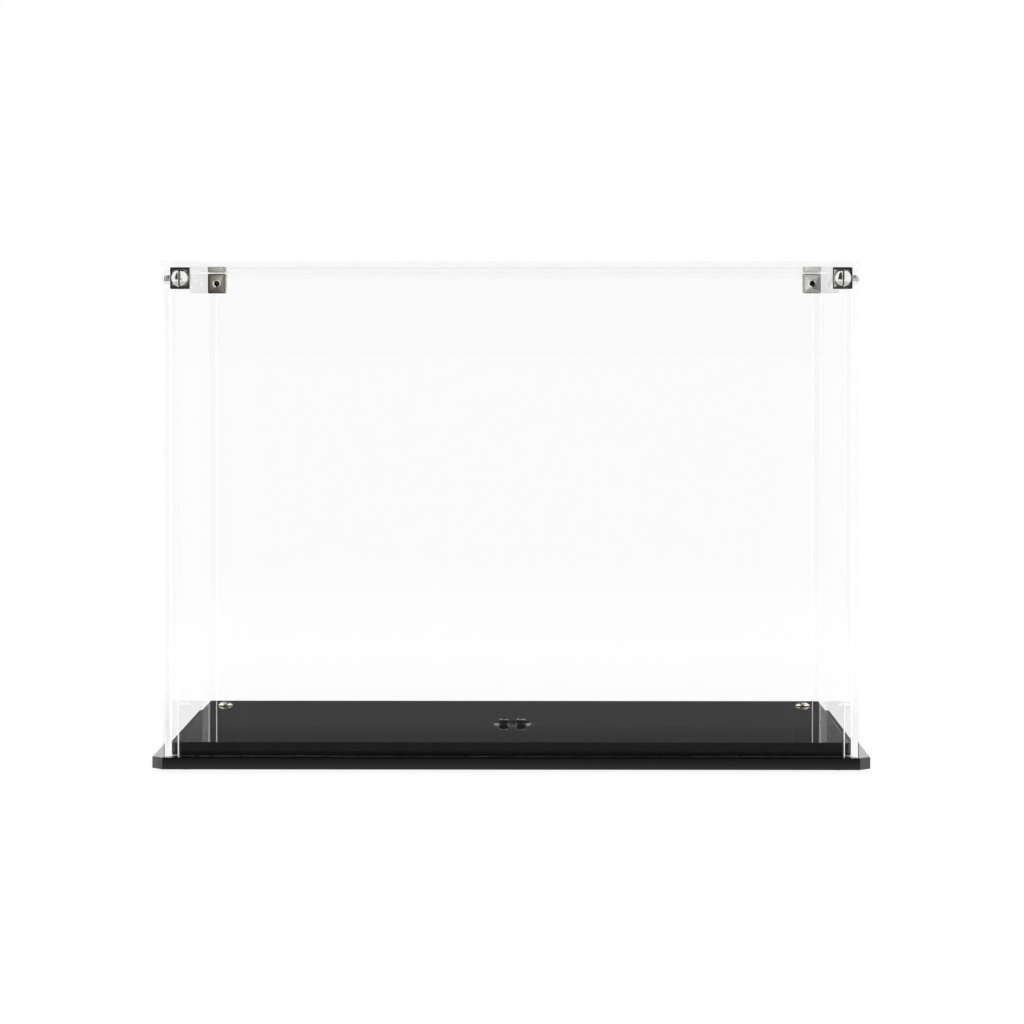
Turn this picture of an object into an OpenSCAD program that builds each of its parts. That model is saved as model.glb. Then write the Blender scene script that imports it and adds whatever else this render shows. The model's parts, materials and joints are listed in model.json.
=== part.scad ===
/* [Clear walls] */
// Width of the front and back walls
wall_w = 351; // [300:1:420]
// Outer depth of the four standing walls
wall_d = 214; // [180:1:280]
// Height of the walls above the lower base plate
wall_h = 250; // [200:1:320]
// Thickness of the clear sheet of walls and lid
sheet_t = 3; // [2:0.5:5]
// How far a side wall stands in from the ends of the front and back walls
side_inset = 0.5; // [0:0.1:1]

/* [Base] */
// Thickness of the wide lower plate
base_t = 6; // [4:0.5:10]
// How far the lower plate stands out past the walls
base_overhang = 5.5; // [3:0.5:12]
// Leg of the 45 degree cut on the lower plate's corners
base_clip = 5.4; // [1:0.2:6]
// Thickness of the upper plate that the walls fit round
plinth_t = 6.2; // [5:0.1:10]
// Gap between the upper plate and each side wall
plinth_side_gap = 0.6; // [0.1:0.1:1]
// Gap between the upper plate and the rear corner posts
plinth_rear_gap = 0.3; // [0.1:0.1:1]
// Gap between the upper plate and the front corner posts
plinth_front_gap = 2; // [0.1:0.1:3]
// Leg of the 45 degree cut on the upper plate's corners
plinth_clip = 1; // [0.4:0.2:2]
// Small polished bevel along the edges of both plates
edge_break = 0.3; // [0.1:0.1:0.8]

/* [Feet] */
// Diameter of a bumper foot
foot_d = 10; // [6:1:16]
// Height of a bumper foot
foot_h = 1.5; // [1:0.5:4]
// From the lower plate's edges to a foot's centre
foot_inset = 16; // [12:1:30]

/* [Corner posts and ledges] */
// Side of the square clear rod in each upright corner
post_s = 4; // [3:0.5:8]
// Height of the clear ledge that carries the lid
ledge_h = 3; // [2:0.5:6]
// Depth of the ledge from its wall
ledge_t = 3; // [2:0.5:6]
// Free length between a ledge's end and the metal cube
ledge_end_gap = 0.5; // [0.3:0.1:3]

/* [Lid] */
// Gap between the lid's edge and the walls
lid_gap = 0.4; // [0.3:0.1:1]

/* [Metal corner cubes] */
// Width and depth of a cube
cube_s = 10; // [9:0.5:14]
// Height of a cube
cube_h = 11; // [9:0.5:14]
// Bevel along a cube's edges
cube_break = 0.4; // [0.2:0.1:0.8]
// Gap between a cube and the side wall
cube_side_gap = 0; // [0:0.1:1.2]
// Gap between a cube and the lid above it
cube_top_gap = 0.3; // [0.2:0.1:1.2]
// Diameter of the countersink at each mouth of a cube's holes
cube_mouth_d = 4.2; // [4:0.1:5]

/* [Dome head screws] */
// Diameter of the screw's shank
screw_d = 3; // [2.5:0.1:3.4]
// Diameter of the head
head_d = 8; // [7:0.5:9]
// Height of the head
head_h = 2.2; // [1.8:0.1:3]
// Height of the straight rim under the dome
head_rim = 0.5; // [0.3:0.1:0.8]
// Width of the driver slot
slot_w = 1; // [0.6:0.1:1.4]
// Depth of the driver slot below the head's crown
slot_depth = 1.1; // [0.8:0.1:1.4]
// Depth of a wall screw in its cube
wall_screw_bite = 3; // [2:0.2:3.2]
// Depth of a corner screw of the upper plate in the lower plate
plinth_screw_bite = 3.5; // [2:0.5:3.5]
// From the upper plate's side edge to its corner screw
plinth_screw_side = 11; // [8:1:30]
// From the upper plate's rear edge to its corner screw
plinth_screw_rear = 26; // [8:1:30]

/* [Headless side screws] */
// Depth of the outer end below the side wall's face
pin_recess = 1.1; // [0.4:0.1:1.4]
// Width of the slot in the outer end
pin_slot_w = 0.5; // [0.4:0.1:0.8]
// Depth of the slot in the outer end
pin_slot_depth = 0.7; // [0.5:0.1:1]
// Depth of the inner end in the cube
pin_bite = 3; // [2:0.2:3.2]

/* [Stand fixing] */
// Distance between the two black screws in the middle
stand_pitch = 9; // [8:0.5:14]
// From the front face of the walls back to the two screws
stand_from_front = 91; // [60:1:110]
// Thickness of the clear pad under the screws
pad_t = 1; // [0.8:0.1:2]
// Width of the pad, which is also the diameter of its round ends
pad_w = 11; // [9:0.5:14]
// Diameter of a black screw's head
stand_head_d = 5; // [4:0.2:6]
// Height of a black screw's head
stand_head_h = 1.9; // [1.4:0.1:3]
// Width across flats of the hexagon socket
stand_hex = 2; // [1.5:0.1:2.5]
// Depth of the hexagon socket
stand_hex_depth = 1.1; // [0.8:0.1:1.2]
// Diameter of the black screws' shanks
stand_screw_d = 2.5; // [2:0.1:3]
// Depth of a black screw in the upper plate
stand_bite = 4; // [2:0.5:4]

/* [Rear edge screws] */
// Distance between the two flush screws at the upper plate's rear edge
rear_pitch = 10.5; // [8:0.5:20]
// From the rear edge to their centres
rear_inset = 4; // [3:0.5:8]
// Diameter of the flush head
rear_head_d = 4; // [3.6:0.2:5]
// Depth of the cone under the flush head
rear_head_h = 1; // [0.6:0.1:1.4]

/* [Hole clearances] */
// Radial clearance of a screw in a wall or plate that it passes through
pass_clear = 0.2; // [0.1:0.05:0.3]
// Radial clearance of a screw in the hole that holds it
hold_clear = 0.05; // [0.02:0.01:0.1]

/* [Hidden] */
$fn = 48;
eps = 0.01;

SIDES = [["left", -1], ["right", 1]];
ENDS = [["front", -1], ["rear", 1]];
CORNERS = [for (e = ENDS) for (s = SIDES) [str(e[0], "_", s[0]), s[1], e[1]]];
function names(prefix, list) = [for (i = list) str(prefix, "_", i[0])];

// Levels, from the surface that the feet stand on
base_z = foot_h;
floor_z = base_z + base_t;
plinth_z = floor_z + plinth_t;
wall_top = floor_z + wall_h;
lid_z = wall_top - sheet_t;
cube_z = lid_z - cube_top_gap - cube_h;
cube_mid_z = cube_z + cube_h / 2;

// Plan sizes
base_w = wall_w + 2 * base_overhang;
base_d = wall_d + 2 * base_overhang;
side_out = wall_w / 2 - side_inset;
inner_w = 2 * (side_out - sheet_t);
inner_d = wall_d - 2 * sheet_t;
plinth_w = inner_w - 2 * plinth_side_gap;
plinth_front = -inner_d / 2 + post_s + plinth_front_gap;
plinth_rear = inner_d / 2 - post_s - plinth_rear_gap;
plinth_d = plinth_rear - plinth_front;
cube_x = inner_w / 2 - cube_side_gap - cube_s / 2;
cube_y = inner_d / 2 - cube_s / 2;
foot_x = base_w / 2 - foot_inset;
foot_y = base_d / 2 - foot_inset;
stand_y = stand_from_front - wall_d / 2;
rear_screw_y = plinth_rear - rear_inset;
plinth_screw_x = plinth_w / 2 - plinth_screw_side;
plinth_screw_y = plinth_rear - plinth_screw_rear;

// Rectangle w by d with its four corners cut at 45 degrees
module clipped(w, d, clip) {
    polygon([for (q = [[1, 1], [-1, 1], [-1, -1], [1, -1]])
        for (k = (q[0] * q[1] > 0) ? [0, 1] : [1, 0])
            [q[0] * (w / 2 - k * clip), q[1] * (d / 2 - (1 - k) * clip)]]);
}

// Flat plate with clipped corners and a small bevel along every edge
module bevelled_plate(w, d, t, clip) {
    hull() {
        translate([0, 0, edge_break]) linear_extrude(t - 2 * edge_break) clipped(w, d, clip);
        linear_extrude(t) clipped(w - 2 * edge_break, d - 2 * edge_break, clip);
    }
}

// Half outline of a domed head that sits on z = 0, as a circular cap on a short rim
function dome_outline(d, h, rim) =
    let (r = d / 2, cap = h - rim, big = (r * r + cap * cap) / (2 * cap), a = asin(r / big), n = 10)
    concat([[0, 0], [r, 0]],
        [for (i = [0 : n]) let (t = a * (1 - i / n)) [big * sin(t), h - big + big * cos(t)]]);

// Slotted dome head screw along -z, its head on z = 0, its slot along y
module dome_screw(length) {
    difference() {
        union() {
            rotate_extrude() polygon(dome_outline(head_d, head_h, head_rim));
            translate([0, 0, -length]) cylinder(d = screw_d, h = length + eps);
        }
        translate([-slot_w / 2, -head_d / 2 - 1, head_h - slot_depth])
            cube([slot_w, head_d + 2, slot_depth + 1]);
    }
}

// Straight hole along +z from z = 0, a little longer than h at both ends
module hole(r, h) {
    translate([0, 0, -eps]) cylinder(r = r, h = h + 2 * eps);
}

module base_plate() {
    color([0.1, 0.1, 0.1]) difference() {
        translate([0, 0, base_z]) bevelled_plate(base_w, base_d, base_t, base_clip);
        for (s = SIDES)
            translate([s[1] * plinth_screw_x, plinth_screw_y, floor_z - plinth_screw_bite - 0.5])
                cylinder(r = screw_d / 2 + hold_clear, h = plinth_screw_bite + 1);
    }
}

module plinth_plate() {
    color([0.13, 0.13, 0.13]) difference() {
        translate([0, (plinth_front + plinth_rear) / 2, floor_z])
            bevelled_plate(plinth_w, plinth_d, plinth_t, plinth_clip);
        for (s = SIDES) {
            translate([s[1] * plinth_screw_x, plinth_screw_y, floor_z])
                hole(screw_d / 2 + pass_clear, plinth_t);
            translate([s[1] * stand_pitch / 2, stand_y, plinth_z - stand_bite - 0.5])
                cylinder(r = stand_screw_d / 2 + hold_clear, h = stand_bite + 1);
            translate([s[1] * rear_pitch / 2, rear_screw_y, plinth_z]) {
                translate([0, 0, -stand_bite - 0.5])
                    cylinder(r = stand_screw_d / 2 + hold_clear, h = stand_bite + 1);
                flush_cone(hold_clear, eps);
            }
        }
    }
}

// Cone under a flush head, its wide end on z = 0, grown by g all round and by over upwards
module flush_cone(g, over) {
    slope = (rear_head_d - stand_screw_d) / 2 / rear_head_h;
    translate([0, 0, -rear_head_h])
        cylinder(r1 = stand_screw_d / 2 + g, r2 = rear_head_d / 2 + g + slope * over, h = rear_head_h + over);
}

module foot(sx, sy) {
    color([0.16, 0.16, 0.16]) translate([sx * foot_x, sy * foot_y, 0])
        rotate_extrude() polygon([[0, 0], [foot_d / 2 - 0.6, 0], [foot_d / 2 - 0.2, 0.2],
            [foot_d / 2, 0.6], [foot_d / 2, foot_h], [0, foot_h]]);
}

module plinth_screw(sx) {
    color([0.8, 0.8, 0.8]) translate([sx * plinth_screw_x, plinth_screw_y, plinth_z])
        dome_screw(plinth_t + plinth_screw_bite);
}

module stand_pad() {
    color([0.85, 0.87, 0.88, 0.5]) difference() {
        translate([0, stand_y, plinth_z]) {
            for (s = SIDES) translate([s[1] * stand_pitch / 2, 0, 0]) cylinder(d = pad_w, h = pad_t);
            translate([-stand_pitch / 2, -pad_w / 2, 0]) cube([stand_pitch, pad_w, pad_t]);
        }
        for (s = SIDES) translate([s[1] * stand_pitch / 2, stand_y, plinth_z])
            hole(stand_screw_d / 2 + pass_clear, pad_t);
    }
}

module stand_screw(sx) {
    color([0.08, 0.08, 0.08]) translate([sx * stand_pitch / 2, stand_y, plinth_z + pad_t]) difference() {
        union() {
            rotate_extrude() polygon([[0, 0], [stand_head_d / 2, 0], [stand_head_d / 2, stand_head_h - 0.4],
                [stand_head_d / 2 - 0.4, stand_head_h], [0, stand_head_h]]);
            translate([0, 0, -pad_t - stand_bite]) cylinder(d = stand_screw_d, h = pad_t + stand_bite + eps);
        }
        translate([0, 0, stand_head_h - stand_hex_depth])
            cylinder(d = stand_hex / cos(30), h = stand_hex_depth + 1, $fn = 6);
    }
}

module rear_screw(sx) {
    color([0.3, 0.3, 0.3]) translate([sx * rear_pitch / 2, rear_screw_y, plinth_z]) difference() {
        union() {
            flush_cone(0, 0);
            translate([0, 0, -stand_bite]) cylinder(d = stand_screw_d, h = stand_bite - rear_head_h + eps);
        }
        translate([-pin_slot_w / 2, -rear_head_d, -pin_slot_w]) cube([pin_slot_w, 2 * rear_head_d, 1]);
    }
}

// Clear wall across the full width, at the front (sy = -1) or the back (sy = 1)
module wide_wall(sy) {
    y0 = (sy < 0) ? -wall_d / 2 : wall_d / 2 - sheet_t;
    color([0.85, 0.9, 0.92, 0.3]) difference() {
        translate([-wall_w / 2, y0, floor_z]) cube([wall_w, sheet_t, wall_h]);
        for (s = SIDES) translate([s[1] * cube_x, y0 + sheet_t, cube_mid_z]) rotate([90, 0, 0])
            hole(screw_d / 2 + pass_clear, sheet_t);
    }
}

module front_panel() { wide_wall(-1); }

module back_panel() { wide_wall(1); }

module side_panel(sx) {
    x0 = (sx < 0) ? -side_out : side_out - sheet_t;
    color([0.85, 0.9, 0.92, 0.3]) difference() {
        translate([x0, -inner_d / 2, floor_z]) cube([sheet_t, inner_d, wall_h]);
        for (e = ENDS) translate([x0, e[1] * cube_y, cube_mid_z]) rotate([0, 90, 0])
            hole(screw_d / 2 + pass_clear, sheet_t);
    }
}

module corner_post(sx, sy) {
    color([0.85, 0.9, 0.92, 0.4])
        translate([sx * (inner_w - post_s) / 2, sy * (inner_d - post_s) / 2, (floor_z + cube_z) / 2])
            cube([post_s, post_s, cube_z - floor_z], center = true);
}

module lid_ledge(sy) {
    length = 2 * (cube_x - cube_s / 2 - ledge_end_gap);
    color([0.85, 0.9, 0.92, 0.4])
        translate([0, sy * (inner_d - ledge_t) / 2, lid_z - ledge_h / 2])
            cube([length, ledge_t, ledge_h], center = true);
}

// Through hole on the axis z, of length h, centred on the origin, with a countersink at both mouths
module cube_bore(h) {
    r = screw_d / 2 + hold_clear;
    sink = cube_mouth_d / 2 - r;
    translate([0, 0, -h / 2]) hole(r, h);
    for (m = [0, 1]) mirror([0, 0, m]) translate([0, 0, h / 2 - sink])
        cylinder(r1 = r, r2 = r + sink + eps, h = sink + eps);
}

module corner_cube(sx, sy) {
    inner = cube_s - 2 * cube_break;
    inner_h = cube_h - 2 * cube_break;
    color([0.6, 0.58, 0.55]) translate([sx * cube_x, sy * cube_y, cube_mid_z]) difference() {
        hull() {
            cube([cube_s, inner, inner_h], center = true);
            cube([inner, cube_s, inner_h], center = true);
            cube([inner, inner, cube_h], center = true);
        }
        cube_bore(cube_h);
        rotate([90, 0, 0]) cube_bore(cube_s);
        rotate([0, 90, 0]) cube_bore(cube_s);
    }
}

module wall_screw(sx, sy) {
    color([0.8, 0.8, 0.8]) translate([sx * cube_x, sy * wall_d / 2, cube_mid_z])
        rotate([-sy * 90, 0, 0]) dome_screw(sheet_t + wall_screw_bite);
}

module side_screw(sx, sy) {
    length = sheet_t - pin_recess + cube_side_gap + pin_bite;
    color([0.55, 0.55, 0.55]) translate([sx * (side_out - pin_recess), sy * cube_y, cube_mid_z])
        rotate([0, sx * 90, 0]) difference() {
            translate([0, 0, -length]) cylinder(d = screw_d, h = length);
            translate([-screw_d, -pin_slot_w / 2, -pin_slot_depth]) cube([2 * screw_d, pin_slot_w, 1]);
        }
}

module top_panel() {
    color([0.85, 0.9, 0.92, 0.3])
        translate([0, 0, lid_z + sheet_t / 2])
            cube([inner_w - 2 * lid_gap, inner_d - 2 * lid_gap, sheet_t], center = true);
}

base_plate();
plinth_plate();
stand_pad();
front_panel();
back_panel();
top_panel();
for (s = SIDES) {
    plinth_screw(s[1]);
    stand_screw(s[1]);
    rear_screw(s[1]);
    side_panel(s[1]);
}
for (e = ENDS)
    lid_ledge(e[1]);
for (c = CORNERS) {
    foot(c[1], c[2]);
    corner_post(c[1], c[2]);
    corner_cube(c[1], c[2]);
    wall_screw(c[1], c[2]);
    side_screw(c[1], c[2]);
}
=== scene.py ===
import json
import math

import bmesh
import bpy
from mathutils import Matrix, Vector

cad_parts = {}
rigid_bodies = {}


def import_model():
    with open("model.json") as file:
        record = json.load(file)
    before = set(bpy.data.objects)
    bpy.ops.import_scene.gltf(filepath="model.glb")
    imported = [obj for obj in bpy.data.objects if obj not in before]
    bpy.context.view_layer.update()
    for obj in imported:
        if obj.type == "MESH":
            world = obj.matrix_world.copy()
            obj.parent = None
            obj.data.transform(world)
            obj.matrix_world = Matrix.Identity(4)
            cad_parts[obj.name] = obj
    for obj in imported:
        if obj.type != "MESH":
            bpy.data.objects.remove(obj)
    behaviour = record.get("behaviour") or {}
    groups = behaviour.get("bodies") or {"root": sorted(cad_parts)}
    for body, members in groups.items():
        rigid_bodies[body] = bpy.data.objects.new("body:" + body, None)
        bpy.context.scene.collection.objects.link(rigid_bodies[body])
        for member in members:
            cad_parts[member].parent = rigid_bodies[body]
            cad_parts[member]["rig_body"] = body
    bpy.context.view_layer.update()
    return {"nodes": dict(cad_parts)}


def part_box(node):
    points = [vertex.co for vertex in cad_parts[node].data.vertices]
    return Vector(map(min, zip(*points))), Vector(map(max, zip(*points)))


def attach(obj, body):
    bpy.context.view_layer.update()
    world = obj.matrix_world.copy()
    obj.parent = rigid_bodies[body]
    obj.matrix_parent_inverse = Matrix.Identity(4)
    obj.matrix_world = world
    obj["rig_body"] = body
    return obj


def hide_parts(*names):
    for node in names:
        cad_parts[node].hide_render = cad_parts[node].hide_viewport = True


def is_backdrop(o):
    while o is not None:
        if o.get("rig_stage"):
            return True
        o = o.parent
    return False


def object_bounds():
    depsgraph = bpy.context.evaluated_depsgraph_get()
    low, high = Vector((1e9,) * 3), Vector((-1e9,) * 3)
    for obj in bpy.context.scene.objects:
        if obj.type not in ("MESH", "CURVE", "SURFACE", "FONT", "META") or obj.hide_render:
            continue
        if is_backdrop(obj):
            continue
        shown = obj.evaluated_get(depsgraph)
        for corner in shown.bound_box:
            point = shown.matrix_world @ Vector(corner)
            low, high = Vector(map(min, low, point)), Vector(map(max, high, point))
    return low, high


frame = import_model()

scene = bpy.context.scene

# ---------------------------------------------------------------- base plates
# Two plates of black cast acrylic, about 6 mm thick, cut to size and polished. The wide one has
# clipped corners that keep their saw marks, with a painted sheen on them that grows towards the
# outer edge and is stronger at the left corners; the narrower one lies on it between the clear walls.

MM = 0.001
CORNER_CLIP = 5.4 * MM
RAGGED = 0.3 * MM
LEFT_SHEEN_REACH = 3 * MM
JET_BLACK = (0.0016, 0.0016, 0.0018)
SAWN_GREY = (0.085, 0.084, 0.080)
ACRYLIC_IOR = 1.49


class Wire:
    """One output socket of a material's node tree, with arithmetic written as on numbers."""

    def __init__(self, tree, socket):
        self.tree, self.socket = tree, socket

    def node(self, kind, inputs=(), out=0, **settings):
        """A new node of this kind, with its settings and then its inputs, numbers or wires."""
        made = self.tree.nodes.new(kind)
        for key, value in settings.items():
            setattr(made, key, value)
        for key, value in dict(inputs).items():
            if isinstance(value, Wire):
                self.tree.links.new(value.socket, made.inputs[key])
            else:
                made.inputs[key].default_value = value
        return Wire(self.tree, made.outputs[out])

    def maths(self, operation, *others):
        return self.node("ShaderNodeMath", dict(enumerate((self, *others))), operation=operation)

    def __add__(self, other):
        return self.maths("ADD", other)

    def __sub__(self, other):
        return self.maths("SUBTRACT", other)

    def __rsub__(self, other):
        return (self * -1) + other

    def __mul__(self, other):
        return self.maths("MULTIPLY", other)

    def __truediv__(self, other):
        return self.maths("DIVIDE", other)

    def __pow__(self, other):
        return self.maths("POWER", other)

    def __gt__(self, other):
        return self.maths("GREATER_THAN", other)

    def __lt__(self, other):
        return self.maths("LESS_THAN", other)

    def __abs__(self):
        return self.maths("ABSOLUTE")

    __radd__, __rmul__ = __add__, __mul__

    def at_least(self, other):
        return self.maths("MAXIMUM", other)

    def at_most(self, other):
        return self.maths("MINIMUM", other)

    def axes(self):
        """The x, y and z of this position."""
        split = self.tree.nodes.new("ShaderNodeSeparateXYZ")
        self.tree.links.new(self.socket, split.inputs[0])
        return [Wire(self.tree, split.outputs[axis]) for axis in "XYZ"]

    def over(self, low, high, bottom=0.0, top=1.0):
        """Runs from bottom to top as the value runs from low to high."""
        return self.node("ShaderNodeMapRange", {"Value": self, "From Min": low, "From Max": high,
                                                "To Min": bottom, "To Max": top})

    def noise(self, scale, detail=2.0, squeeze=(1, 1, 1)):
        """Cloudy pattern from 0 to 1 on this position; squeeze stretches it along an axis."""
        place = self.node("ShaderNodeMapping", {"Vector": self, "Scale": squeeze})
        return self.node("ShaderNodeTexNoise", {"Vector": place, "Scale": scale, "Detail": detail})

    def blend(self, colour_a, colour_b):
        """From colour_a where the value is 0 to colour_b where it is 1."""
        mix = self.tree.nodes.new("ShaderNodeMix")
        mix.data_type = "RGBA"
        self.tree.links.new(self.socket, mix.inputs["Factor"])
        for name, colour in (("A", colour_a), ("B", colour_b)):
            socket = next(s for s in mix.inputs if s.name == name and s.type == "RGBA")
            if isinstance(colour, Wire):
                self.tree.links.new(colour.socket, socket)
            else:
                socket.default_value = (*colour, 1.0)
        return Wire(self.tree, next(s for s in mix.outputs if s.type == "RGBA"))

    def bump(self, height, strength):
        """Normal of a surface that this value raises by up to height, in metres."""
        return self.node("ShaderNodeBump", {"Height": self, "Distance": height, "Strength": strength})


def new_material(name):
    """An empty material, and the place on the piece as a Wire."""
    material = bpy.data.materials.new(name)
    material.use_nodes = True
    tree = material.node_tree
    tree.nodes.clear()
    tree.nodes.new("ShaderNodeOutputMaterial")
    coordinates = tree.nodes.new("ShaderNodeTexCoord")
    return material, Wire(tree, coordinates.outputs["Object"])


def finish_with(shader):
    """The material's surface is this shader."""
    output = next(n for n in shader.tree.nodes if n.type == "OUTPUT_MATERIAL")
    shader.tree.links.new(shader.socket, output.inputs["Surface"])


black_acrylic, place = new_material("black_acrylic")
wipe_marks = place.noise(38, detail=3, squeeze=(1, 4, 1)).over(0.42, 0.72)
dust = place.noise(2600, detail=1).over(0.76, 0.82)
haze = place.noise(9).over(0.35, 0.7)
saw_marks = place.noise(1500, squeeze=(1, 1, 0.15)).over(0.3, 0.7, 0.8, 1)
x, y, z = place.axes()
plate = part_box("base_plate")[1]
clipped = abs(x) + abs(y) > plate.x + plate.y - CORNER_CLIP - RAGGED
# Painted sheen on the sawn corner facets: lighter towards the outer edge, lighter still at the left
# corners.
painted_sheen = abs(x).over(plate.x - RAGGED, plate.x, 0.75, 1.3) + (x < LEFT_SHEEN_REACH - plate.x) * 0.5
finish_with(place.node("ShaderNodeBsdfPrincipled", {
    "Base Color": (clipped * saw_marks * painted_sheen).at_least(dust * 0.4).blend(JET_BLACK, SAWN_GREY),
    "Roughness": wipe_marks * 0.02 + haze * 0.015 + dust * 0.1 + clipped * 0.35 + 0.02,
    "IOR": ACRYLIC_IOR,
    "Normal": place.noise(60, detail=1).bump(0.01 * MM, 0.15),
}))
for name in ["base_plate", "plinth_plate"]:
    solid = frame["nodes"][name]
    solid.data.materials.clear()
    solid.data.materials.append(black_acrylic)

# ---------------------------------------------------------------- feet
# Four round bumpers of black rubber, moulded with a fine matt grain, stuck under the lower plate
# near its corners.

CORNERS = ["front_left", "front_right", "rear_left", "rear_right"]
MERGE_DISTANCE = 0.001 * MM
CREASE_ANGLE = math.radians(28)


def straightness(normal):
    """1 where a face looks straight along an axis, less where it is slanted."""
    return max(abs(c) for c in normal)


def merged_copy(name):
    """The triangles of a solid, joined where they meet."""
    bm = bmesh.new()
    bm.from_mesh(frame["nodes"][name].data)
    bmesh.ops.remove_doubles(bm, verts=bm.verts, dist=MERGE_DISTANCE)
    return bm


def put_in_place(bm, name, ending, slot, *materials):
    """Makes the mesh a piece that stands in for the solid of this name and moves with it."""
    mesh = bpy.data.meshes.new(name + ending)
    bm.to_mesh(mesh)
    bm.free()
    for material in materials:
        mesh.materials.append(material)
    piece = bpy.data.objects.new(name + ending, mesh)
    scene.collection.objects.link(piece)
    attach(piece, frame["nodes"][name]["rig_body"])
    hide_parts(name)
    return piece


def rounded_copy(name, material, slot, reshape=None):
    """A piece in the place of a turned or moulded solid, with its round faces shaded smooth. Each
    corner point may first be moved by reshape."""
    bm = merged_copy(name)
    for face in bm.faces:
        face.smooth = straightness(face.normal) < 0.9999
    if reshape:
        for v in bm.verts:
            reshape(v.co)
    piece = put_in_place(bm, name, "_shown", slot, material)
    piece.data.set_sharp_from_angle(angle=CREASE_ANGLE)


bumper_rubber, place = new_material("bumper_rubber")
grain = place.noise(900, detail=3)
finish_with(place.node("ShaderNodeBsdfPrincipled", {
    "Base Color": grain.blend((0.022, 0.022, 0.022), (0.045, 0.044, 0.043)),
    "Roughness": grain.over(0, 1, 0.55, 0.8),
    "Normal": grain.bump(0.04 * MM, 0.4),
}))
for corner in CORNERS:
    rounded_copy("foot_" + corner, bumper_rubber, "bumper_rubber")

# ---------------------------------------------------------------- clear walls and lid
# Walls and lid are 3 mm clear cast acrylic with scraped edges, which are frosted white and glow with
# painted light, as do the bore walls of the side walls' rear holes and, faintly, their front right
# holes. The front and back run over the ends of the side walls; the lid drops in between all four
# and lies on the ledges.

SIDES = ["left", "right"]
FACE_GLOSS = 0.012
GRAZING_POWER = 4.0
SHEET_TINT = (0.998, 0.999, 0.999, 1.0)
SHEET_EDGE = 0.12 * MM
EDGE_GLOW = 0.57
FLAT_ANGLE = math.radians(1)
SHARP_ANGLE = math.radians(40)
GLUE_LINE = 0.02 * MM
BOTTOM_EDGE_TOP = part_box("front_panel")[0].z + 0.5 * MM
HOLE_SEARCH = 2 * MM
HOLE_WALL = 1.6 * MM
THREAD_REACH = 1.52 * MM


def clear_shader(place, tint, film):
    """Clear acrylic that bends what is behind it. Lamps pass straight through its faces."""
    fresnel = place.node("ShaderNodeFresnel", {"IOR": ACRYLIC_IOR})
    mirrored = (fresnel ** GRAZING_POWER) * (1 - FACE_GLOSS) + FACE_GLOSS
    bent = place.node("ShaderNodeBsdfRefraction", {"Color": tint, "IOR": ACRYLIC_IOR,
                                                   "Roughness": 0.0, "Normal": film})
    sheen = place.node("ShaderNodeBsdfAnisotropic", {"Color": (1, 1, 1, 1), "Roughness": 0.0,
                                                     "Normal": film})
    solid = place.node("ShaderNodeMixShader", {0: mirrored, 1: bent, 2: sheen})
    shadow_ray = place.node("ShaderNodeLightPath", out="Is Shadow Ray")
    passed = place.node("ShaderNodeBsdfTransparent", {"Color": tint})
    return place.node("ShaderNodeMixShader", {0: shadow_ray, 1: solid, 2: passed})


clear_sheet, place = new_material("clear_sheet")
waviness = place.noise(14, detail=1).bump(0.02 * MM, 0.05)
finish_with(clear_shader(place, SHEET_TINT, waviness))

# Painted light: the cut edges glow though they are no lamp, besides being frosted white.
cut_edge_with_glow, place = new_material("cut_edge_with_glow")
scraped = place.noise(1200)
finish_with(place.node("ShaderNodeBsdfPrincipled", {
    "Base Color": scraped.blend((0.90, 0.91, 0.91), (0.98, 0.98, 0.98)),
    "Roughness": scraped.over(0, 1, 0.4, 0.7),
    "Emission Color": scraped.blend((0.94, 0.95, 0.95), (1, 1, 1)),
    "Emission Strength": EDGE_GLOW,
}))

# Bore walls of the side walls' holes: frosted white, with a painted glow that is full in the rear
# holes, a quarter in the front right holes and absent in the front left ones.
drilled_wall_with_glow, place = new_material("drilled_wall_with_glow")
drill_marks = place.noise(1500, squeeze=(3, 1, 1))
x, y, z = place.axes()
painted_bore_glow = (y > 0) + (x > 0) * 0.25
finish_with(place.node("ShaderNodeBsdfPrincipled", {
    "Base Color": drill_marks.blend((0.70, 0.70, 0.69), (0.90, 0.90, 0.89)),
    "Roughness": drill_marks.over(0, 1, 0.4, 0.7),
    "Emission Color": painted_bore_glow.blend((0, 0, 0), (1, 1, 1)),
    "Emission Strength": EDGE_GLOW,
}))


def middle_of(name):
    """The middle of a solid's box."""
    low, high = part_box(name)
    return (low + high) / 2


def off_axis(point, middle, along):
    """How far a point lies off a line that runs through a middle along axis 0, 1 or 2."""
    off = point - middle
    off[along] = 0
    return off


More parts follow.
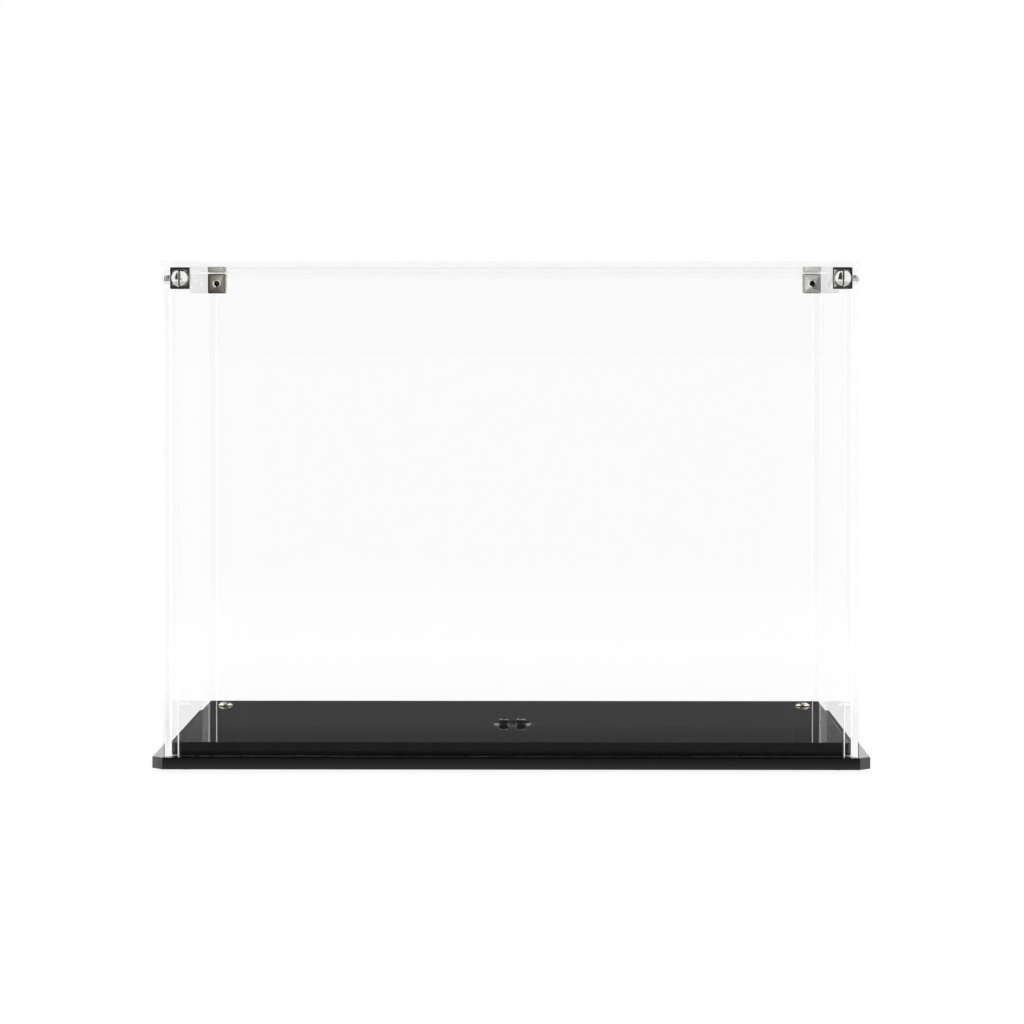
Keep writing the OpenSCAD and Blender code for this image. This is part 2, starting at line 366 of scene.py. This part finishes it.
def polished_copy(name, edge, material, slot, screws=(), sawn=(0, 0, 0), frosted_glowing=True):
    """A piece in the place of a clear solid: edges scraped off, a hair's gap at glued faces, and
    its drilled holes closed up on the screws in them, given with the axis they lie along. Scraped
    outer edges above the foot, unless turned off, and sawn faces are frosted white with a painted
    glow, and so are the walls of holes that run across the side walls."""
    low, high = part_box(name)
    size, centre = high - low, (low + high) / 2
    bm = merged_copy(name)
    bmesh.ops.dissolve_limit(bm, angle_limit=FLAT_ANGLE, verts=bm.verts, edges=bm.edges)
    sharp = [e for e in bm.edges if e.calc_face_angle(0) > SHARP_ANGLE
             and all(straightness(f.normal) > 0.999 for f in e.link_faces)
             and len(e.link_faces) == 2]
    bmesh.ops.bevel(bm, geom=sharp, offset=edge, offset_type="OFFSET", affect="EDGES", segments=2,
                    profile=0.5, material=-1, clamp_overlap=True)
    for face in bm.faces:
        middle = face.calc_center_median()
        slanted = straightness(face.normal) < 0.99
        outside = any(abs(abs(middle[i] - centre[i]) - size[i] / 2) < edge for i in range(3))
        sawn_face = face.normal.dot(Vector(sawn)) > 0.99
        scraped_glowing_edge = frosted_glowing and slanted and outside and middle.z > BOTTOM_EDGE_TOP
        face.material_index = 1 if sawn_face or scraped_glowing_edge else 0
    for screw, along in dict(screws).items():
        screw_middle = middle_of(screw)
        for v in bm.verts:
            off = off_axis(v.co, screw_middle, along)
            if off.length < HOLE_SEARCH:
                v.co += off * (THREAD_REACH / off.length - 1)
        for face in bm.faces:
            off = off_axis(face.calc_center_median(), screw_middle, along)
            if off.length < HOLE_WALL and along == 0:
                face.material_index = 2
    shrink = [1 - 2 * GLUE_LINE / s for s in size]
    bmesh.ops.scale(bm, vec=shrink, space=Matrix.Translation(-centre), verts=bm.verts)
    return put_in_place(bm, name, "_polished", slot, material, cut_edge_with_glow, drilled_wall_with_glow)


for name, end in [("front_panel", "front"), ("back_panel", "rear")]:
    polished_copy(name, SHEET_EDGE, clear_sheet, "clear_sheet",
                  {"wall_screw_%s_%s" % (end, side): 1 for side in SIDES})
for side in SIDES:
    polished_copy("side_panel_" + side, SHEET_EDGE, clear_sheet, "clear_sheet",
                  {"side_screw_%s_%s" % (end, side): 0 for end in ["front", "rear"]}, sawn=(0, 1, 0))
polished_copy("top_panel", SHEET_EDGE, clear_sheet, "clear_lid")

# ---------------------------------------------------------------- corner posts and lid ledges
# Square 4 mm clear rods stand in the upright corners, and 3 mm strips carry the lid's front and
# rear edges. All are glued to the walls. The rear rods keep one sawn face, turned to the middle.

# The front rods' scraped edges and the rear rods' sawn faces are frosted white with a painted glow.
ROD_EDGE = 0.3 * MM
STRIP_EDGE = 0.06 * MM

for side, inward in [("left", 1), ("right", -1)]:
    polished_copy("corner_post_front_" + side, ROD_EDGE, clear_sheet, "clear_strip")
    polished_copy("corner_post_rear_" + side, ROD_EDGE, clear_sheet, "clear_strip",
                  sawn=(inward, 0, 0), frosted_glowing=False)
for end in ["front", "rear"]:
    polished_copy("lid_ledge_" + end, STRIP_EDGE, clear_sheet, "clear_strip", frosted_glowing=False)

# ---------------------------------------------------------------- corner cubes
# Four steel cubes, 10 mm square and 11 mm tall, nickel plated, with countersunk tapped holes
# through all three axes. They tie the walls together below the lid.

BORE_REACH = 1.58 * MM
MOUTH_REACH = 2.15 * MM
MOUTH_FLOOR_REACH = 1.7 * MM
MOUTH_SINK = 0.55 * MM
MOUTH_FILLED = 0.42 * MOUTH_SINK
FACE_SKIN = 0.02 * MM
# Widths and levels of the painted shade and painted light in the cubes' colour.
SHADED_EDGE_WIDTH = 0.42 * MM
EDGE_SHADE = 0.8
SIDE_PAINTED_LIGHT = 1.8
MOUTH_PAINTED_LIGHT = 1.9
RIGHT_REAR_PAINTED_LIGHT = 0.24
NICKEL = (1.0, 0.97, 0.92)
WARM_NICKEL = (1.0, 0.92, 0.79)
PAINTED_BORE_SHADE = (0.003, 0.003, 0.003)


def within(one, other, reach):
    """1 inside a round of this reach about the line that one and other are measured from."""
    return one * one + other * other < reach ** 2


cube_metal, place = new_material("cube_metal")
brushed = place.noise(700, detail=4, squeeze=(0.06, 1, 1))
stain = place.noise(120, detail=3).over(0.3, 0.7, 0.85, 1.15)
x, y, z = place.axes()
low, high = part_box("corner_cube_rear_right")
cube_middle, cube_half = (low + high) / 2, (high - low) / 2
in_x = abs(x) - cube_middle.x
in_y = abs(y) - cube_middle.y
in_z = z - cube_middle.z
bores = [within(one, other, BORE_REACH) for one, other in [(in_x, in_z), (in_x, in_y), (in_y, in_z)]]
in_bore = bores[0].at_least(bores[1]).at_least(bores[2])
mouth = within(in_x, in_z, MOUTH_REACH)
side_face = abs(in_x) > cube_half.x - FACE_SKIN
taller = cube_half.z - cube_half.x
# Painted shade on the edges, in the bores and over the outer part of the rear left cube; painted
# light over its inner part, over the rear right cube, on the side faces and round the rear
# countersinks. The rear left cube is also tinted warmer.
shaded_edge = abs(in_y) + abs(in_x).at_least(abs(in_z) - taller) > 2 * cube_half.x - SHADED_EDGE_WIDTH
at_rear = y > 0
painted_shade_to_light = x.over(-high.x, -low.x, 0.3, 1.4)
plating_and_painted_light = stain * (1 - shaded_edge * EDGE_SHADE)
plating_and_painted_light = plating_and_painted_light * (1 - at_rear * (1 - painted_shade_to_light)) + at_rear * (x > 0) * RIGHT_REAR_PAINTED_LIGHT
plating_and_painted_light = plating_and_painted_light.at_least(side_face * SIDE_PAINTED_LIGHT).at_least(mouth * at_rear * MOUTH_PAINTED_LIGHT)
plating_and_painted_light = plating_and_painted_light.at_most(MOUTH_PAINTED_LIGHT) / 2
nickel = (at_rear * (x < 0)).blend(NICKEL, WARM_NICKEL)
finish_with(place.node("ShaderNodeBsdfPrincipled", {
    "Base Color": (plating_and_painted_light * (1 - in_bore)).blend(PAINTED_BORE_SHADE, nickel),
    "Metallic": 1 - in_bore,
    "Roughness": brushed.over(0, 1, 0.06, 0.16) + at_rear * (1 - mouth) * 0.28,
}))


def shallow_mouth(point):
    """Makes the countersinks of a cube's front and rear faces shallower."""
    along = abs(point.y) - cube_middle.y
    sunk = cube_half.y - abs(along)
    from_axis = math.hypot(abs(point.x) - cube_middle.x, point.z - cube_middle.z)
    if abs(sunk - MOUTH_SINK) < 0.2 * MOUTH_SINK and from_axis < MOUTH_FLOOR_REACH:
        point.y += math.copysign(MOUTH_FILLED, along * point.y)


for corner in CORNERS:
    rounded_copy("corner_cube_" + corner, cube_metal, "cube_metal", shallow_mouth)

# ---------------------------------------------------------------- dome head screws
# Bright plated M3 screws with slotted dome heads. Four hold the front and back walls to the cubes,
# and two hold the rear corners of the upper plate down on the lower one.

ABOVE_PLATES = 0.1
HAIR = 0.01 * MM
SLOT_DEEPER = 0.15 * MM
SLOT_HALF_WIDTH = 0.5 * MM
SLOT_NARROWED = 0.38 * MM
WARM_CHROME = (0.95, 0.88, 0.76)

bright_screw, place = new_material("bright_screw")
swirl = place.noise(400)
x, y, z = place.axes()
low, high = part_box("wall_screw_front_right")
head_x, head_front = (low.x + high.x) / 2, -low.y
in_wall = z > ABOVE_PLATES
in_slot = abs(abs(x) - head_x) < SLOT_NARROWED + HAIR
in_slot = in_slot * (abs(y) < head_front - SLOT_DEEPER) * in_wall
plated = swirl.blend((0.80, 0.80, 0.80), (0.90, 0.90, 0.89))
# Painted shade inside the slots: near black in the left heads, a little lighter in the right ones.
shaded_slot_floor = (x > 0).blend((0.03, 0.03, 0.028), (0.10, 0.10, 0.09))
finish_with(place.node("ShaderNodeBsdfPrincipled", {
    "Base Color": in_slot.blend(in_wall.blend(WARM_CHROME, plated), shaded_slot_floor),
    "Metallic": 1.0,
    "Roughness": swirl.over(0, 1, 0.05, 0.12) + in_slot * 0.2,
}))


def narrow_slot(point):
    """Brings the slot's two walls closer together."""
    axis = math.copysign(head_x, point.x)
    if abs(abs(point.x - axis) - SLOT_HALF_WIDTH) < HAIR:
        point.x = axis + math.copysign(SLOT_NARROWED, point.x - axis)


for corner in CORNERS:
    rounded_copy("wall_screw_" + corner, bright_screw, "bright_screw", narrow_slot)
for side in SIDES:
    rounded_copy("plinth_screw_" + side, bright_screw, "bright_screw")

# ---------------------------------------------------------------- headless side screws
# Plain turned M3 screws without a head, slotted at the outer end, that run through the side walls
# into the cubes.

plain_screw, place = new_material("plain_screw")
turned = place.noise(900, squeeze=(3, 1, 1))
finish_with(place.node("ShaderNodeBsdfPrincipled", {
    "Base Color": turned.blend((0.40, 0.39, 0.38), (0.62, 0.61, 0.60)),
    "Metallic": 1.0,
    "Roughness": turned.over(0, 1, 0.22, 0.40),
}))
for corner in CORNERS:
    rounded_copy("side_screw_" + corner, plain_screw, "plain_screw")

# ---------------------------------------------------------------- stand pad
# A thin smoky clear washer plate in the middle of the upper plate, under the ball stand. It is
# open where the heads of the stand's two screws go down through it.

PAD_TINT = (0.5, 0.5, 0.48, 1.0)
HEAD_CLEARED = 2.55 * MM

smoky_clear, place = new_material("smoky_clear")
finish_with(clear_shader(place, PAD_TINT, place.noise(200).bump(0.02 * MM, 0.1)))
pad = polished_copy("stand_pad", ROD_EDGE, smoky_clear, "clear_strip", frosted_glowing=False)
for side in SIDES:
    for v in pad.data.vertices:
        off = off_axis(v.co, middle_of("stand_screw_" + side), 2)
        if off.length < HOLE_SEARCH:
            v.co += off * (HEAD_CLEARED / off.length - 1)

# ---------------------------------------------------------------- black screws
# Black oxide screws in the upper plate. Two stand in its middle, with heads that hold the ball
# stand and carry a ring of bright metal at the rim as a painted highlight, and two smaller ones lie
# flush near its rear edge.

RIM_WIDTH = 0.45 * MM
RIM_DEPTH = 0.55 * MM
HEAD_LOWERED = 0.9 * MM
OXIDE_SHINE = 0.03

black_screw, place = new_material("black_screw")
oxide = place.noise(700, detail=3)
x, y, z = place.axes()
low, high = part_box("stand_screw_right")
head_middle, head_reach = (low + high) / 2, (high.x - low.x) / 2
black_top = within(abs(x) - head_middle.x, y - head_middle.y, head_reach - RIM_WIDTH)
# Painted highlight: a ring of bright bare metal round the top of the head.
rim_painted_highlight = (1 - black_top) * (z > high.z - RIM_DEPTH)
finish_with(place.node("ShaderNodeBsdfPrincipled", {
    "Base Color": rim_painted_highlight.blend(oxide.blend((0.001, 0.001, 0.001), (0.003, 0.003, 0.003)),
                                 oxide.blend((0.10, 0.10, 0.09), (0.55, 0.54, 0.52))),
    "Metallic": rim_painted_highlight,
    "Roughness": oxide.over(0, 1, 0.25, 0.45),
    "Specular IOR Level": OXIDE_SHINE,
}))
pad_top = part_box("stand_pad")[1].z


def deep_head(point):
    """Lets the head reach down through the pad."""
    if abs(point.z - pad_top) < HAIR:
        point.z -= HEAD_LOWERED


for side in SIDES:
    rounded_copy("stand_screw_" + side, black_screw, "black_screw", deep_head)
    rounded_copy("rear_screw_" + side, black_screw, "black_screw")

# ---------------------------------------------------------------- table
# A wide table of matt white card that glows softly. Polished faces mirror it white at the case's
# foot, dark a hand's width off, lighter to about half a metre, and dark beyond that except to the
# sides.

FRONT_LINE = -0.1
TABLE_RADIUS = 30
TABLE_SEEN = 1.012
OWN_LIGHT = 0.9
DARK_LEFT, DARK_RIGHT = -1.11, 0.16
DARK_HALF_WIDTH = 0.2
SHORTEST_LOOK = 0.2

table_white, place = new_material("table_white")
card = place.noise(300).blend((0.86, 0.86, 0.86), (0.88, 0.88, 0.88))
lit = place.node("ShaderNodeBsdfDiffuse", {"Color": card})
x, y, z = place.axes()
mirrored = place.node("ShaderNodeLightPath", out="Glossy Depth") > 0.5
diffuse_ray = place.node("ShaderNodeLightPath", out="Is Diffuse Ray")
ray_length = place.node("ShaderNodeLightPath", out="Ray Length")
ahead = y * -1 + FRONT_LINE
left_of_dark = x < ahead * DARK_LEFT - DARK_HALF_WIDTH
right_of_dark = x > ahead * DARK_RIGHT + DARK_HALF_WIDTH
# Each runs between two distances in metres, and from one level to another.
at_foot = ahead.over(0.02, 0.07, 0.8, 0.2)
farther_out = ahead.over(0.13, 0.23, 0.0, 0.6)
long_look = ray_length.over(0.36, 0.60, 0.6, 1.0) * (ray_length > SHORTEST_LOOK)
near = at_foot.at_least(farther_out).at_least(long_look)
far = ahead.over(0.60, 1.1, 1.0, 0.05).at_least(left_of_dark + right_of_dark)
behind_front = y > FRONT_LINE
level_mirrored = behind_front + (1 - behind_front) * near.at_most(far)
level = mirrored * level_mirrored + (1 - mirrored) * TABLE_SEEN
glow = place.node("ShaderNodeEmission", {"Color": (1, 1, 1, 1), "Strength": level})
only_glows = mirrored * (y < FRONT_LINE) * (1 - OWN_LIGHT)
share = (1 - diffuse_ray) * (only_glows + OWN_LIGHT)
finish_with(place.node("ShaderNodeMixShader", {0: share, 1: lit, 2: glow}))

table_mesh = bpy.data.meshes.new("floor")
bm = bmesh.new()
bmesh.ops.create_circle(bm, cap_ends=True, segments=64, radius=TABLE_RADIUS)
bm.to_mesh(table_mesh)
bm.free()
table_mesh.materials.append(table_white)
table = bpy.data.objects.new("floor", table_mesh)
scene.collection.objects.link(table)
table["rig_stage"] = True

# ---------------------------------------------------------------- studio
# A lit white backdrop stands behind and beside the case at table height, with a dim room above
# it, and the room before the case is dark. Polished faces mirror all that; anything else sees
# white. Places in the studio are parts of an arrow of length one that points there.

BACKDROP_TOP = 0.085
DIM = 0.062
SOFT_LIGHT = 0.62
ROOM_HALF_WIDTH = 0.4
ROOM_NARROWER = 0.14
ROOM_BEGINS = -0.16
LEFT_OF_POSTS, RIGHT_OF_POSTS = -0.1075, 0.1062
GAP_START, GAP_END = 0.0897, 0.0955
LOW = 0.3
STEEP = 0.28
DARK_TOP = 0.89
DARKENED = 0.95
NOT_ZERO = 0.001
ONE_FACE, TWO_SHEETS, THREE_SHEETS = 0.5, 3.5, 5.5

world = bpy.data.worlds.new("studio")
world.use_nodes = True
scene.world = world
tree = world.node_tree
tree.nodes.clear()
heading = Wire(tree, tree.nodes.new("ShaderNodeTexCoord").outputs["Generated"])
across, behind, up = heading.axes()


def path(name):
    """What a light path says of the ray that reaches the studio."""
    return heading.node("ShaderNodeLightPath", out=name)


mirrored = path("Glossy Depth") > 0.5
mirrored_twice = path("Glossy Depth") > 1.5
faces_crossed = path("Transmission Depth")
# A slant or a turn is how far across a ray goes for one step behind or before the case.
slant = across / behind.at_least(NOT_ZERO)
in_gap = (slant > GAP_START) * (slant < GAP_END)
beside = (slant < LEFT_OF_POSTS) + (slant > RIGHT_OF_POSTS) + in_gap
outside = faces_crossed < ONE_FACE
low_beside = (up < LOW) * (beside > 0.5) * (outside * 0.9 + 0.1)
steep_in_case = (up > STEEP) * (faces_crossed > TWO_SHEETS)
overhead_strip = abs(across) < ROOM_HALF_WIDTH - steep_in_case * ROOM_NARROWER
dim_room = overhead_strip * (behind > ROOM_BEGINS) * (up > BACKDROP_TOP)
piped = (faces_crossed > THREE_SHEETS) * mirrored_twice
dim_behind = dim_room * (1 - low_beside.at_least(piped))
turn = across / (behind * -1).at_least(NOT_ZERO)
dark_before = (turn > DARK_LEFT) * (turn < DARK_RIGHT) * (behind < 0) * (up < DARK_TOP)
reflected = (1 - dim_behind * (1 - DIM)) * (1 - dark_before * DARKENED)
lighting = path("Is Diffuse Ray").at_least(path("Is Shadow Ray"))
strength = lighting * SOFT_LIGHT + (1 - lighting) * (mirrored * reflected + (1 - mirrored))
background = heading.node("ShaderNodeBackground", {"Color": (1, 1, 1, 1), "Strength": strength})
world_output = tree.nodes.new("ShaderNodeOutputWorld")
tree.links.new(background.socket, world_output.inputs["Surface"])

# ---------------------------------------------------------------- lamp and camera
# One wide soft lamp hangs overhead, a little behind the case, and isn't mirrored in anything. The
# camera stands in front, a little below the lid's height, with its frame shifted down.

LAMP_STRENGTH = 1.7
LAMP_SPREAD = math.radians(50)
LAMP_FROM = (0.0, 0.22, 1.0)
IMAGE_SIDE = 1024
FOCAL_PX = 3465.1
FRAME_SHIFT_PX = -131.2
SENSOR = 36
CAMERA_PLACE = (0.01569, -1.85108, 0.22193)
CAMERA_TILT = -0.0143
CAMERA_TURN = 0.0087

sun = bpy.data.lights.new("overhead", "SUN")
sun.energy = LAMP_STRENGTH
sun.angle = LAMP_SPREAD
overhead = bpy.data.objects.new("overhead", sun)
overhead.rotation_euler = Vector(LAMP_FROM).to_track_quat("Z", "Y").to_euler()
overhead.visible_glossy = False
overhead.visible_transmission = False
scene.collection.objects.link(overhead)

camera_data = bpy.data.cameras.new("camera")
camera_data.sensor_width = SENSOR
camera_data.lens = SENSOR * FOCAL_PX / IMAGE_SIDE
camera_data.shift_y = FRAME_SHIFT_PX / IMAGE_SIDE
camera_data.clip_start = 0.05
camera_data.clip_end = 100
camera = bpy.data.objects.new("camera", camera_data)
camera.location = CAMERA_PLACE
camera.rotation_euler = (math.radians(90) + CAMERA_TILT, 0, CAMERA_TURN)
scene.collection.objects.link(camera)
scene.camera = camera
scene.view_settings.view_transform = "Standard"
scene.cycles.max_bounces = 40
scene.cycles.glossy_bounces = 24
scene.cycles.transmission_bounces = 32
scene.cycles.transparent_max_bounces = 40

low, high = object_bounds()
